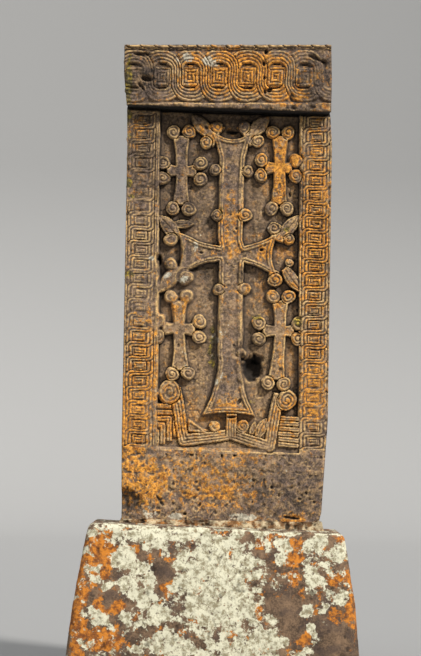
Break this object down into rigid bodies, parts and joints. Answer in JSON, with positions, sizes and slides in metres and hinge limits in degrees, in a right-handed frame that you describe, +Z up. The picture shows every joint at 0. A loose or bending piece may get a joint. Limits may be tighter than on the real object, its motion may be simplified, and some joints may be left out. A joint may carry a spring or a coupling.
{
  "type": "khachkar",
  "caption": "Carved cross-stone slab with a projecting knotwork cornice, bedded in mortar on a battered stone plinth.",
  "frame": {"origin": "centre of the plinth's underside, on the ground", "axes": "+Z up, +X to the right of someone who faces the carving, the carving looks towards -Y"},
  "size_m": [1.1526, 0.6916, 2.514],
  "materials": {
    "carved_stone": "weathered, lichened",
    "mortar": "crumbled",
    "plinth_stone": "rough, lichened"
  },
  "bodies": {
    "root": {"carved_slab": "carved_stone", "mortar_bed": "mortar", "plinth": "plinth_stone"}
  },
  "joints": []
}
